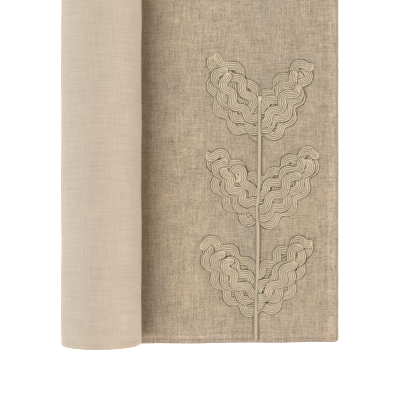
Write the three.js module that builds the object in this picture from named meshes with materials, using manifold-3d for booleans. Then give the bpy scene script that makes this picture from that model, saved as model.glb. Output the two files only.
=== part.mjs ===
// A lined linen table runner, rolled up from one end, with a leafy branch in wavy braid
// sewn across its free end. Millimetres, +Z up, standing on z = 0.
import * as THREE from 'three';
import { mergeVertices } from 'three/addons/utils/BufferGeometryUtils.js';
import Module from 'manifold-3d';

const wasm = await Module();
wasm.setup();

// ---- driving dimensions ----------------------------------------------------------------
const RUNNER_LENGTH = 1829;        // as cut and sewn, laid out flat
const RUNNER_WIDTH = 356;
const FLAT_LENGTH = 233;           // from the free end to where the roll touches down
const LINEN_THICKNESS = 0.8;
const LINING_THICKNESS = 0.5;
const PIECE_GAP = 0.3;             // between pieces that lie on each other
const WRAP_SLACK = 0.85;           // air between one turn of the roll and the next
const CORE_RADIUS = 11;            // the open middle of the roll
const ROLL_SHIFT = 5;              // how far the roll has crept sideways while it was rolled
const CORNER_RADIUS = 5;           // the two corners of the free end

const STITCH_WIDTH = 0.7;          // topstitching: thread width and height
const STITCH_HEIGHT = 0.3;
const END_STITCH_INSET = 2;        // from the free end
const SIDE_STITCH_INSET = 4.5;     // from the two long edges

const STEM_INSET = 81;             // stem line, from the free end
const STEM_DIAMETER = 4;
const BRAID_WIDTH = 8.6;
const BRAID_THICKNESS = 0.9;
const BRAID_SWING = 2.8;           // half the wave of the braid, side to side
const BRAID_MAX_TILT = 1.6;        // one edge of a braid over the other

// ---- mesh detail -----------------------------------------------------------------------
const STEPS_PER_TURN = 20;         // facets round one turn of the roll
const BRAID_STEP = 3.2;            // along a braid
const LAY_SUBSTEPS = 4;            // looks beneath a braid, per step along it
const LAY_SAMPLES = 13;            // and across it
const STEM_SIDES = 8;
const STEM_STEPS = 30;

// ---- worked out from the above -----------------------------------------------------------
const STACK = LINING_THICKNESS + PIECE_GAP + LINEN_THICKNESS;
const TURN_PITCH = STACK + WRAP_SLACK;
const LINEN_MIDDLE = LINING_THICKNESS + PIECE_GAP + LINEN_THICKNESS / 2;
const TRIM_BASE = STACK + PIECE_GAP;             // underside of what is sewn on the linen
const ROLLED_LENGTH = RUNNER_LENGTH - FLAT_LENGTH;

const innerMiddle = CORE_RADIUS + STACK - LINEN_MIDDLE;
const outerMiddle = Math.sqrt(innerMiddle ** 2 + ROLLED_LENGTH * TURN_PITCH / Math.PI);
const ROLL_RADIUS = outerMiddle + LINEN_MIDDLE;  // outside of the lining, last turn
const ROLL_TURNS = (outerMiddle - innerMiddle) / TURN_PITCH;

const FRONT_Y = -RUNNER_WIDTH / 2;
const BACK_Y = RUNNER_WIDTH / 2;
const END_X = FLAT_LENGTH;                       // the roll touches down at x = 0
const STEM_X = END_X - STEM_INSET;

// ---- helpers -----------------------------------------------------------------------------
const smoothstep = (t) => {
  const u = Math.min(1, Math.max(0, t));
  return u * u * (3 - 2 * u);
};

// A closed body through rings of equally many points, with a flat cap at each end.
function loft(rings) {
  const n = rings[0].length;
  const positions = rings.flat().flatMap((p) => [p.x, p.y, p.z]);
  let index = [];
  for (let i = 0; i + 1 < rings.length; i += 1) {
    for (let j = 0; j < n; j += 1) {
      const a = i * n + j;
      const b = i * n + (j + 1) % n;
      index.push(a, b, b + n, a, b + n, a + n);
    }
  }
  const last = (rings.length - 1) * n;
  for (let j = 1; j + 1 < n; j += 1) {
    index.push(0, j + 1, j, last, last + j, last + j + 1);
  }
  if (signedVolume(positions, index) < 0) index = index.reverse();
  const geometry = new THREE.BufferGeometry();
  geometry.setAttribute('position', new THREE.Float32BufferAttribute(positions, 3));
  geometry.setIndex(index);
  return geometry;
}

function signedVolume(positions, index) {
  const corner = (k) => new THREE.Vector3().fromArray(positions, 3 * index[k]);
  let volume = 0;
  for (let k = 0; k < index.length; k += 3) {
    volume += corner(k).dot(corner(k + 1).cross(corner(k + 2))) / 6;
  }
  return volume;
}

function toManifold(geometry) {
  const bare = geometry.clone();
  bare.deleteAttribute('normal');
  bare.deleteAttribute('uv');
  const merged = mergeVertices(bare, 1e-4);
  return new wasm.Manifold(new wasm.Mesh({
    numProp: 3,
    vertProperties: new Float32Array(merged.attributes.position.array),
    triVerts: new Uint32Array(merged.index.array),
  }));
}

function toGeometry(manifold) {
  const mesh = manifold.getMesh();
  const geometry = new THREE.BufferGeometry();
  geometry.setAttribute('position', new THREE.BufferAttribute(mesh.vertProperties, 3));
  geometry.setIndex(new THREE.BufferAttribute(mesh.triVerts, 1));
  return geometry;
}

const group = new THREE.Group();

function addPiece(name, geometry, colour, roughness) {
  geometry.computeVertexNormals();
  const material = new THREE.MeshStandardMaterial({ color: colour, roughness, metalness: 0 });
  const mesh = new THREE.Mesh(geometry, material);
  mesh.name = name;
  group.add(mesh);
}

// ---- the two cloths ------------------------------------------------------------------------
// Stations along the runner, from the free end to the middle of the roll. Each gives the
// place of the lining's outside, the direction through the cloth, and the two edges.
function runnerStations() {
  const stations = [];
  const shiftStart = ROLL_RADIUS * 0.8;          // the creep begins under the roll
  const shiftEnd = ROLL_RADIUS * Math.PI / 2;    // and ends a quarter turn up
  const shiftAt = (along) => ROLL_SHIFT * smoothstep((along + shiftStart) / (shiftStart + shiftEnd));
  const addStation = (x, z, inward, along, trim) => {
    const shift = shiftAt(along);
    stations.push({ x, z, inward, front: FRONT_Y + trim + shift, back: BACK_Y - trim + shift });
  };
  const cornerSteps = 4;
  for (let i = 0; i <= cornerSteps; i += 1) {
    const angle = (i / cornerSteps) * Math.PI / 2;
    const fromEnd = CORNER_RADIUS * (1 - Math.cos(angle));
    addStation(END_X - fromEnd, 0, [0, 1], -END_X, CORNER_RADIUS * (1 - Math.sin(angle)));
  }
  const flatSteps = 4;
  for (let i = flatSteps; i >= 1; i -= 1) {
    const x = shiftStart * i / flatSteps;
    addStation(x, 0, [0, 1], -x, 0);
  }
  const steps = Math.ceil(ROLL_TURNS * STEPS_PER_TURN);
  for (let i = 0; i <= steps; i += 1) {
    const turns = Math.min(i / STEPS_PER_TURN, ROLL_TURNS);
    const radius = ROLL_RADIUS - TURN_PITCH * turns;
    const angle = turns * 2 * Math.PI;
    const inward = [Math.sin(angle), Math.cos(angle)];
    addStation(-radius * inward[0], ROLL_RADIUS - radius * inward[1], inward, ROLL_RADIUS * angle, 0);
  }
  return stations;
}

// One cloth of the runner, between two depths measured in from the lining's outside.
function clothGeometry(stations, outside, inside) {
  return loft(stations.map(({ x, z, inward, front, back }) => {
    const at = (depth, y) => new THREE.Vector3(x + inward[0] * depth, y, z + inward[1] * depth);
    return [at(outside, front), at(outside, back), at(inside, back), at(inside, front)];
  }));
}

const stations = runnerStations();
addPiece('face_linen', clothGeometry(stations, STACK - LINEN_THICKNESS, STACK), 0xb6a58c, 0.95);
addPiece('lining_cotton', clothGeometry(stations, 0, LINING_THICKNESS), 0xd2c0ac, 0.9);

// ---- topstitching on the flat part -----------------------------------------------------------
function threadBar(from, to) {
  const along = new THREE.Vector3().subVectors(to, from);
  const size = new THREE.Vector3(Math.abs(along.x) || STITCH_WIDTH, Math.abs(along.y) || STITCH_WIDTH,
    STITCH_HEIGHT);
  const bar = new THREE.BoxGeometry(size.x, size.y, size.z);
  const middle = new THREE.Vector3().addVectors(from, to).multiplyScalar(0.5);
  bar.translate(middle.x, middle.y, TRIM_BASE + STITCH_HEIGHT / 2);
  return bar;
}

const stitchX = END_X - END_STITCH_INSET;
const stitchStartX = ROLL_RADIUS;                // seen from just beside the roll
const sideStitchEndX = stitchX - STITCH_WIDTH / 2 - PIECE_GAP;
for (const [name, y] of [['topstitch_front', FRONT_Y + SIDE_STITCH_INSET],
  ['topstitch_back', BACK_Y - SIDE_STITCH_INSET]]) {
  const from = new THREE.Vector3(stitchStartX, y, 0);
  addPiece(name, threadBar(from, new THREE.Vector3(sideStitchEndX, y, 0)), 0xc9b89c, 0.8);
}
addPiece('topstitch_end', threadBar(
  new THREE.Vector3(stitchX, FRONT_Y + CORNER_RADIUS, 0),
  new THREE.Vector3(stitchX, BACK_Y - CORNER_RADIUS, 0),
), 0xc9b89c, 0.8);

// ---- the stem --------------------------------------------------------------------------------
// Points of the stem line: sideways from the stem's place, and up from the front edge.
const STEM_LINE = [[-2, 6.5], [-2, 28], [-1, 54], [0, 90], [0, 115], [-0.5, 138], [1, 152],
  [1.5, 195], [2, 247]];
const STEM_AXIS_Z = TRIM_BASE + STEM_DIAMETER / 2;
const stemCurve = new THREE.CatmullRomCurve3(
  STEM_LINE.map(([side, up]) => new THREE.Vector3(STEM_X + side, FRONT_Y + up, STEM_AXIS_Z)),
  false, 'catmullrom', 0.5,
);

function stemGeometry() {
  const section = new THREE.Shape();
  for (let i = 0; i < STEM_SIDES; i += 1) {
    const angle = (i + 0.5) * 2 * Math.PI / STEM_SIDES;
    const radius = STEM_DIAMETER / 2 / Math.cos(Math.PI / STEM_SIDES);
    const point = [radius * Math.cos(angle), radius * Math.sin(angle)];
    if (i === 0) section.moveTo(...point);
    else section.lineTo(...point);
  }
  section.closePath();
  return new THREE.ExtrudeGeometry(section, { steps: STEM_STEPS, extrudePath: stemCurve });
}

addPiece('stem_cord', stemGeometry(), 0xc8b698, 0.85);

// The room that one side's braids may fill: everything past the stem's side.
function sideRoom(side) {
  const reach = side * (RUNNER_WIDTH + FLAT_LENGTH);
  const clear = side * (STEM_DIAMETER / 2 + PIECE_GAP);
  const edge = stemCurve.getSpacedPoints(STEM_STEPS).map((p) => [p.x + clear, p.y]);
  const outline = [
    [STEM_X + reach, 2 * FRONT_Y], [edge[0][0], 2 * FRONT_Y], ...edge,
    [edge.at(-1)[0], 2 * BACK_Y], [STEM_X + reach, 2 * BACK_Y],
  ];
  const shape = new THREE.Shape(outline.map(([x, y]) => new THREE.Vector2(x, y)));
  return toManifold(new THREE.ExtrudeGeometry(shape, { depth: ROLL_RADIUS, bevelEnabled: false }));
}

// ---- the leaves --------------------------------------------------------------------------------
// A row of braid: its name, which way its first crest bulges (1 towards the leaf's lower edge,
// -1 towards its upper edge), where along it that crest is, the wave's length, and the middle
// line from the leaf's tip to the stem, as distances out from the stem and up from the root.
const row = (name, bulge, crest, wave, ...path) => ({ name, bulge, crest, wave, path });

const LEAVES = [
  { name: 'leaf_1_left', side: -1, root: 206, rows: [
    row('low_rim', 1, 5.5, 24, [43.5, 81], [44.5, 57], [41, 37], [32.5, 21.5], [18, 8.5], [-2, 3]),
    row('high_rim', -1, 0.5, 25, [45, 79.5], [35, 75.5], [26, 70.5], [17, 64.5], [10, 54], [-2, 40]),
    row('second', 1, 13, 21.5, [34, 71], [40, 60], [34.5, 41], [23.5, 25], [7, 11], [-2, 9]),
    row('heart', -1, 14, 22, [28, 66], [19, 56], [12, 46], [6.5, 35], [5, 24]),
    row('third', 1, 12, 20.5, [33, 64], [31.5, 51], [25.5, 39], [15, 26], [-2, 18]),
  ] },
  { name: 'leaf_1_right', side: 1, root: 206, rows: [
    row('low_rim', 1, 14, 22, [51, 74], [48, 61], [42, 48], [39.5, 37], [26, 10.5], [15, 4.5], [0, 3.5]),
    row('high_rim', -1, 16, 22.5, [56, 72], [45, 72.5], [28, 61.5], [18.5, 51], [11.5, 44], [0, 39]),
    row('heart', 1, 10, 22.5, [42, 52], [35, 35], [25, 22], [14, 14], [0, 9]),
    row('second', -1, 21, 19, [40, 63], [24, 48], [13.5, 36], [0, 29]),
    row('third', -1, 16, 21, [40, 50], [27.5, 39.5], [14.5, 23.5], [0, 13]),
  ] },
  { name: 'leaf_2_left', side: -1, root: 119, rows: [
    row('low_rim', 1, 12, 22.4, [46, 73], [43.5, 61], [39.5, 38.5], [28, 21], [11, 6.5], [-2, 5]),
    row('high_rim', -1, 13, 20, [48, 71], [35, 68.5], [26.5, 63], [19, 57], [10, 49.5], [-2, 44]),
    row('second', 1, 12.5, 21.5, [34, 67], [39, 55.5], [29.5, 36.5], [17, 19], [-2, 11]),
    row('heart', -1, 12, 24, [24, 43], [23, 51], [17.5, 52.5], [13, 46], [9, 37], [4.5, 27]),
    row('third', 1, 2.5, 18.5, [31, 57], [30.5, 48], [25, 38], [12.5, 25.5], [-2, 19]),
  ] },
  { name: 'leaf_2_right', side: 1, root: 119, rows: [
    row('low_rim', 1, 11.7, 23.2, [58, 68], [54, 57], [45, 35.5], [31, 16.5], [13, 3.5], [0, 2.5]),
    row('high_rim', -1, 12, 20, [61, 72], [49, 71.5], [32, 64], [15, 50.5], [0, 46]),
    row('heart', 1, 8, 22, [51, 65], [49, 54], [39, 39.5], [31, 28], [22, 18], [10, 11.5], [0, 9]),
    row('second', -1, 22, 20.8, [48, 63], [39, 57], [29, 51.5], [12, 39], [0, 30]),
    row('third', -1, 12.4, 24, [40, 53], [31.5, 43.5], [23, 34], [14.5, 26.5], [0, 15]),
  ] },
  { name: 'leaf_3_left', side: -1, root: 30, rows: [
    row('low_rim', 1, 18, 21.3, [51, 70], [49.5, 52], [39.5, 32.5], [26.5, 16], [9.5, 4.5], [-2, 2]),
    row('high_rim', -1, 10, 21.6, [54, 68], [45, 72], [35, 67.5], [17, 56], [9, 48.5], [-2, 38]),
    row('second', 1, 12, 22.7, [37, 64], [40.5, 52.5], [29.5, 32], [13.5, 17], [-2, 13]),
    row('heart', -1, 13, 20.5, [38, 54], [28, 51.5], [20, 45], [12, 38.5], [6, 28.5]),
    row('third', 1, 8, 20, [28, 56], [30, 47], [24, 35], [13, 26], [-2, 21]),
  ] },
  { name: 'leaf_3_right', side: 1, root: 30, rows: [
    row('low_rim', 1, 10.4, 22.5, [51, 75], [48, 65], [40.5, 44], [31, 23.5], [15, 7.5], [-2, 4.5]),
    row('high_rim', -1, 14, 20, [54, 73], [40, 71], [23, 61], [13, 50], [-2, 41]),
    row('heart', 1, 12, 22, [46, 67], [41, 57], [33, 41], [23, 25], [11, 15], [-2, 11]),
    row('second', -1, 9, 24, [42, 70], [37, 63], [30, 54], [23, 45], [14, 36], [-2, 22]),
    row('third', -1, 13, 21.5, [35, 54], [28, 43], [22, 34], [14, 25.5], [-2, 15]),
  ] },
];

// The braid's two edges in plan, station by station. The braid keeps its width across the
// wave, so it is wider across the middle line where the wave is steep.
function braidPlan(leaf, { bulge, crest, wave, path }) {
  const middle = new THREE.CatmullRomCurve3(
    path.map(([out, up]) => new THREE.Vector3(out, up, 0)), false, 'catmullrom', 0.5,
  );
  const length = middle.getLength();
  const count = Math.round(length / BRAID_STEP);
  return Array.from({ length: count + 1 }, (_, i) => {
    const point = middle.getPointAt(i / count);
    const tangent = middle.getTangentAt(i / count);
    const phase = 2 * Math.PI * (length * i / count - crest) / wave;
    const swing = bulge * BRAID_SWING * Math.cos(phase);
    const slope = BRAID_SWING * 2 * Math.PI / wave * Math.sin(phase);
    const half = BRAID_WIDTH / 2 * Math.hypot(1, slope);
    const edge = (offset) => [
      STEM_X + leaf.side * (point.x - tangent.y * offset),
      FRONT_Y + leaf.root + point.y + tangent.x * offset,
    ];
    return { low: edge(swing + half), high: edge(swing - half) };
  });
}

const mix = (a, b, t) => a.map((v, i) => v + (b[i] - v) * t);

// Height of a laid braid's top at a point in plan, or 0 where the braid isn't.
function topAt(braid, [x, y]) {
  const { box, rings } = braid;
  if (x < box[0] || x > box[1] || y < box[2] || y > box[3]) return 0;
  let top = 0;
  for (let i = 0; i + 1 < rings.length; i += 1) {
    const [a, b] = [rings[i], rings[i + 1]];
    for (const [p, q, r] of [[a.high, a.low, b.low], [a.high, b.low, b.high]]) {
      const area = (q[0] - p[0]) * (r[1] - p[1]) - (r[0] - p[0]) * (q[1] - p[1]);
      const u = ((x - p[0]) * (r[1] - p[1]) - (r[0] - p[0]) * (y - p[1])) / area;
      const v = ((q[0] - p[0]) * (y - p[1]) - (x - p[0]) * (q[1] - p[1])) / area;
      if (u >= 0 && v >= 0 && u + v <= 1) {
        top = Math.max(top, p[2] + (q[2] - p[2]) * u + (r[2] - p[2]) * v + BRAID_THICKNESS);
      }
    }
  }
  return top;
}

// Lays a braid over those already sewn down: at each station the underside is the lowest
// straight line across, tilted no more than allowed, that clears everything beneath.
function layDown(plan, laid) {
  const across = Array.from({ length: LAY_SAMPLES }, (_, k) => k * 1.12 / (LAY_SAMPLES - 1) - 0.06);
  const needAt = (station) => {
    const i = Math.min(Math.max(Math.floor(station), 0), plan.length - 2);
    const low = mix(plan[i].low, plan[i + 1].low, station - i);
    const high = mix(plan[i].high, plan[i + 1].high, station - i);
    return across.map((t) => {
      const tops = laid.map((braid) => topAt(braid, mix(low, high, t)));
      return Math.max(TRIM_BASE, ...tops.map((top) => top + PIECE_GAP));
    });
  };
  // One look reaches past each end, so that the cut ends clear what is beside them.
  const needs = Array.from({ length: LAY_SUBSTEPS * (plan.length - 1) + 3 },
    (_, k) => needAt((k - 1) / LAY_SUBSTEPS));
  const tilts = Array.from({ length: 9 }, (_, k) => BRAID_MAX_TILT * (k / 4 - 1));
  const lines = plan.map((_, i) => {
    const near = needs.slice(Math.max(0, LAY_SUBSTEPS * (i - 1)), LAY_SUBSTEPS * (i + 1) + 3);
    const fits = tilts.map((tilt) => {
      const start = Math.max(...near.flatMap((need) => need.map((h, j) => h - tilt * across[j])));
      return { low: start, high: start + tilt };
    });
    return fits.reduce((best, fit) => (fit.low + fit.high < best.low + best.high ? fit : best));
  });
  const rings = plan.map(({ low, high }, i) => {
    const around = [lines[Math.max(0, i - 1)], lines[i], lines[Math.min(plan.length - 1, i + 1)]];
    const raise = (edge) => Math.max(lines[i][edge], around.reduce((sum, l) => sum + l[edge], 0) / 3);
    return { low: [...low, raise('low')], high: [...high, raise('high')] };
  });
  const xs = rings.flatMap((r) => [r.low[0], r.high[0]]);
  const ys = rings.flatMap((r) => [r.low[1], r.high[1]]);
  return { rings, box: [Math.min(...xs), Math.max(...xs), Math.min(...ys), Math.max(...ys)] };
}

function braidGeometry({ rings }, room) {
  const body = loft(rings.map(({ low, high }) => [
    new THREE.Vector3(...low),
    new THREE.Vector3(...high),
    new THREE.Vector3(high[0], high[1], high[2] + BRAID_THICKNESS),
    new THREE.Vector3(low[0], low[1], low[2] + BRAID_THICKNESS),
  ]));
  const pieces = toManifold(body).intersect(room).decompose();
  return toGeometry(pieces.reduce((a, b) => (a.volume() > b.volume() ? a : b)));
}

const rooms = { '-1': sideRoom(-1), 1: sideRoom(1) };
const laid = { '-1': [], 1: [] };
for (const leaf of LEAVES) {
  for (const braid of leaf.rows) {
    const body = layDown(braidPlan(leaf, braid), laid[leaf.side]);
    laid[leaf.side].push(body);
    addPiece(`${leaf.name}_${braid.name}`, braidGeometry(body, rooms[leaf.side]), 0xcdbc9c, 0.9);
  }
}

// The origin is on the table, below the middle of the whole piece.
const bounds = new THREE.Box3().setFromObject(group);
const centre = bounds.getCenter(new THREE.Vector3());
group.position.set(-centre.x, -centre.y, 0);

export default group;
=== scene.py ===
import math

import bpy
import numpy as np
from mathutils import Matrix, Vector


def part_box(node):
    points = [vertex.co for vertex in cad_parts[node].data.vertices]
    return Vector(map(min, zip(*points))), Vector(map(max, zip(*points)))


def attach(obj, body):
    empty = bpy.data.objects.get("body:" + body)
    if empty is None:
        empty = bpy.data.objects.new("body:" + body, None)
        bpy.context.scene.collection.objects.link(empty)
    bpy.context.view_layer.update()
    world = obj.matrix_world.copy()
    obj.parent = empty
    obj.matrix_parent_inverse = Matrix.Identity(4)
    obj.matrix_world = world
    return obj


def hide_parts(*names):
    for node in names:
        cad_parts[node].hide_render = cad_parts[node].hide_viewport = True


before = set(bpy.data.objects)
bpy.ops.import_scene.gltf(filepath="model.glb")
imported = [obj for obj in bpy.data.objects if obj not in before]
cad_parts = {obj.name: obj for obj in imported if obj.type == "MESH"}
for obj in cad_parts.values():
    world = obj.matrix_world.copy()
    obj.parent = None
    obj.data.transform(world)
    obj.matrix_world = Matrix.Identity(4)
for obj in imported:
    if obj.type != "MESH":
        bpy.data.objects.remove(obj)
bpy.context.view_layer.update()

MM = 0.001
PER_METRE = 1000.0


def box_mm(node):
    """A CAD node's box, in millimetres."""
    low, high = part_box(node)
    return np.array(low) / MM, np.array(high) / MM


# ---- sizes ------------------------------------------------------------------------------------
RUNNER_LENGTH = 1829.0
RUNNER_WIDTH = 356.0
FLAT_LENGTH = 233.0
LINEN_THICKNESS = 0.8
LINING_THICKNESS = 0.5
PLY_GAP = 0.3                 # air between linen and lining
TURN_PITCH = 2.45             # from one turn of the roll to the next
ROLL_SHIFT = 5.0              # the roll has crept sideways while it was rolled
CORNER_RADIUS = 5.0
CREEP_START = 0.8             # in roll radii before the roll touches down
END_SKEW = 1.6                # the free end lies this far back

END_STITCH_INSET = 2.0
SIDE_STITCH_INSET = 4.5
END_HEM = 11.5                # how far the turned-in allowance reaches from the edges
SIDE_HEM = 9.0
HEM_RISE = 0.5
STITCH_PITCH = 2.75
STITCH_LENGTH = 2.0
STITCH_SKEW = 0.07            # a stitch is turned at most this far out of line, in radians
THREAD_WIDTH = 0.75           # of a pulled-down stitch
THREAD_HEIGHT = 0.42
THREAD_TWIST = 0.5            # length of one turn of the thread's twist
LINEN_WEAVE = 0.8             # from one thread of the cloth to the next
COTTON_WEAVE = 0.42

STEM_INSET = 81.0
STEM_DIAMETER = 4.0
STEM_TWIST = 2.6              # length of one turn of the cord's twist
BRAID_WIDTH = 8.6
BRAID_THICKNESS = 0.9         # how much a laid braid raises the next one: cords sink in a little
BRAID_SWING = 2.8             # to each side of its middle line
BRAID_CORDS = 5
CORD_WIDTH = 1.66
CORD_HEIGHT = 1.25
PLAIT_PITCH = 1.1             # from one strand of a cord's plait to the next
EDGING = 0.64                 # girth of the thin thread along each edge of a braid, in cords
EDGING_OFFSET = 0.5           # how far beyond the last cord it lies, in steps between cords

STACK = LINING_THICKNESS + PLY_GAP + LINEN_THICKNESS
LINING_LOW, LINING_HIGH = box_mm("lining_cotton")
END_X = LINING_HIGH[0]
FRONT_Y = LINING_LOW[1]
BACK_Y = FRONT_Y + RUNNER_WIDTH
ROLL_X = END_X - FLAT_LENGTH                        # where the roll touches down
ROLL_RADIUS = (LINING_HIGH[2] + TURN_PITCH / 2) / 2
STEM_X = END_X - STEM_INSET
MIDDLE_RADIUS = ROLL_RADIUS - STACK / 2

# ---- colours, as a shader takes them -------------------------------------------------------------
LINEN_GREY = (0.345, 0.282, 0.212, 1.0)
LINEN_YELLOW = (0.358, 0.288, 0.203, 1.0)
HEM_GREY = (0.350, 0.288, 0.230, 1.0)
HEM_ROSE = (0.420, 0.334, 0.255, 1.0)
SEWN_LINE = (0.16, 0.12, 0.085, 1.0)
COTTON_ROSE = (0.392, 0.323, 0.262, 1.0)
COTTON_CREAM = (0.398, 0.332, 0.264, 1.0)
BRAID_PALE = (0.568, 0.474, 0.340, 1.0)
BRAID_WARM = (0.553, 0.448, 0.321, 1.0)
CUT_END = (0.80, 0.70, 0.60, 1.0)
THREAD_COLOUR = (0.42, 0.35, 0.26, 1.0)


# ---- small helpers ------------------------------------------------------------------------------
def smooth(t):
    """0 below 0, 1 above 1, and smooth between."""
    t = np.clip(t, 0.0, 1.0)
    return t * t * (3 - 2 * t)


def bump(x, centre, width):
    """1 at the centre, and next to nothing two widths away."""
    return np.exp(-((x - centre) / width) ** 2)


# ---- node trees ---------------------------------------------------------------------------------
class Wire:
    """One output in a node tree. Sums on it add Math nodes."""

    def __init__(self, tree, socket):
        self.tree = tree
        self.socket = socket

    def _sum(self, operation, first, second):
        return self.tree.node("ShaderNodeMath", {"operation": operation}, {0: first, 1: second})

    def __add__(self, other):
        return self._sum("ADD", self, other)

    def __radd__(self, other):
        return self._sum("ADD", other, self)

    def __sub__(self, other):
        return self._sum("SUBTRACT", self, other)

    def __rsub__(self, other):
        return self._sum("SUBTRACT", other, self)

    def __mul__(self, other):
        return self._sum("MULTIPLY", self, other)

    def __rmul__(self, other):
        return self._sum("MULTIPLY", other, self)

    def __truediv__(self, other):
        return self._sum("DIVIDE", self, other)

    def sine(self):
        return self.tree.node("ShaderNodeMath", {"operation": "SINE"}, {0: self})

    def size(self):
        return self.tree.node("ShaderNodeMath", {"operation": "ABSOLUTE"}, {0: self})

    def greatest(self, other):
        return self._sum("MAXIMUM", self, other)

    def ease(self, low, high):
        """0 below low, 1 above high, and smooth between."""
        return self.tree.node("ShaderNodeMapRange", {"interpolation_type": "SMOOTHSTEP"},
                              {"Value": self, "From Min": low, "From Max": high})


class Tree:
    """A node tree that is filled through one method."""

    def __init__(self, nodes):
        self.nodes = nodes

    def node(self, kind, settings=None, sockets=None, output=0):
        """Adds a node, with its settings made before its sockets, and gives one of its outputs."""
        made = self.nodes.nodes.new(kind)
        for name, value in (settings or {}).items():
            setattr(made, name, value)
        for name, value in (sockets or {}).items():
            self.feed(made.inputs[name], value)
        return Wire(self, made.outputs[output]) if made.outputs else made

    def parts(self, vector):
        """The three numbers of a vector."""
        parted = self.node("ShaderNodeSeparateXYZ", None, {0: vector})
        return [Wire(self, out) for out in parted.socket.node.outputs]

    def feed(self, socket, value):
        """Links a wire to a socket, or sets its own value."""
        if isinstance(value, Wire):
            self.nodes.links.new(value.socket, socket)
        else:
            socket.default_value = value


class Finish(Tree):
    """A material, with its Principled shader's sockets set from values or wires."""

    def __init__(self, name):
        self.material = bpy.data.materials.new(name)
        self.material.use_nodes = True
        super().__init__(self.material.node_tree)
        self.nodes.nodes.clear()

    def close(self, **sockets):
        """Ends the material in a shader. A socket's name has _ for each space."""
        named = {name.replace("_", " ").title().replace("Ior", "IOR"): value
                 for name, value in sockets.items()}
        shader = self.node("ShaderNodeBsdfPrincipled", None, named)
        self.node("ShaderNodeOutputMaterial", None, {"Surface": shader})
        return self.material

    def cloth_place(self):
        """Millimetres along and across the cloth as cut, from the cloth's own map."""
        place = self.node("ShaderNodeUVMap", {"uv_map": "cloth"})
        along, across, _ = self.parts(place)
        return along * PER_METRE, across * PER_METRE

    def noise(self, x, y, z, detail=2.0, roughness=0.5):
        """Cloudy values about 0.5."""
        place = self.node("ShaderNodeCombineXYZ", None, {0: x, 1: y, 2: z})
        return self.node("ShaderNodeTexNoise", None, {
            "Vector": place, "Scale": 1.0, "Detail": detail, "Roughness": roughness})

    def mix(self, factor, first, second):
        """The first colour at factor 0, the second at 1."""
        return self.node("ShaderNodeMix", {"data_type": "RGBA"},
                         {0: factor, 6: first, 7: second}, output=2)

    def shade(self, colour, amount):
        """The colour times an amount, where 1 leaves it alone."""
        grey = self.node("ShaderNodeCombineColor", None, {0: amount, 1: amount, 2: amount})
        return self.node("ShaderNodeMix", {"data_type": "RGBA", "blend_type": "MULTIPLY"},
                         {0: 1.0, 6: colour, 7: grey}, output=2)

    def relief(self, height, depth_mm, strength=1.0):
        """Fine relief on the surface, from a height of 0 to 1."""
        return self.node("ShaderNodeBump", None, {
            "Height": height, "Distance": depth_mm * MM, "Strength": strength})

    def plain_weave(self, along, across, pitch):
        """Height of a plain weave, 0 to 1: each thread goes over and under the ones it crosses."""
        turn = math.pi / pitch
        warp = (across * turn).sine().size() * ((along * turn).sine() * 0.5 + 0.5)
        weft = (along * turn + math.pi / 2).sine().size() * (0.5 - (across * turn).sine() * 0.5)
        return warp.greatest(weft)


# ---- finishes -----------------------------------------------------------------------------------
# A noise takes millimetres over the size of its blotches. Its third number sets it apart from others.
def linen_finish():
    """Slubby threads both ways, and the hems a little rosier than the rest."""
    f = Finish("natural slub linen")
    along, across = f.cloth_place()
    warp_streak = f.noise(along / 22.0, across / 0.95, 3.1, 3.0, 0.6)
    weft_streak = f.noise(along / 0.95, across / 18.0, 8.7, 3.0, 0.6)
    warp_slub = f.noise(along / 7.0, across / 1.5, 21.3, 1.0).ease(0.6, 0.76)
    weft_slub = f.noise(along / 1.5, across / 6.0, 33.9, 1.0).ease(0.6, 0.76)
    grain = f.noise(along / 1.1, across / 1.1, 51.7, 2.0, 0.7)
    clouds = f.noise(along / 38.0, across / 46.0, 5.5, 2.0)
    dye = f.noise(along / 17.0, across / 15.0, 14.2, 2.0)
    weave = f.plain_weave(along, across, LINEN_WEAVE)
    # The strip outside the stitching, the bands over the hems, and the pressed stitching lines.
    from_side = RUNNER_WIDTH / 2 - across.size()
    side_strip = 1 - from_side.ease(3.4, 5.0)
    side_band = from_side.ease(4.8, 6.0) * (1 - from_side.ease(8.2, 9.6))
    end_band = along.ease(2.6, 4.6) * (1 - along.ease(9.5, 12.5))
    sewn_line = (from_side.ease(3.6, 4.4) * (1 - from_side.ease(4.6, 5.4))).greatest(
        along.ease(1.1, 1.9) * (1 - along.ease(2.1, 2.9)))
    colour = f.mix(clouds.ease(0.3, 0.7), LINEN_GREY, LINEN_YELLOW)
    colour = f.mix(side_strip * 0.8, colour, HEM_GREY)
    colour = f.mix(side_band.greatest(end_band) * 0.75, colour, HEM_ROSE)
    colour = f.mix(sewn_line * 0.45, colour, SEWN_LINE)
    tone = -0.79 + warp_streak * 0.86 + weft_streak * 1.0 + grain * 1.6 + (dye - 0.5) * 0.26
    # the weave term darkens the weave's low points: painted shade in the weave
    tone = tone + (warp_slub + weft_slub) * 0.12 + (weave - 0.5) * 0.25
    height = weave * 0.6 + (warp_streak + weft_streak) * 0.5 + (warp_slub + weft_slub) * 0.5
    return f.close(base_color=f.shade(colour, tone), roughness=0.93, sheen_weight=0.12,
                   specular_ior_level=0.25, normal=f.relief(height, 0.22))


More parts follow.
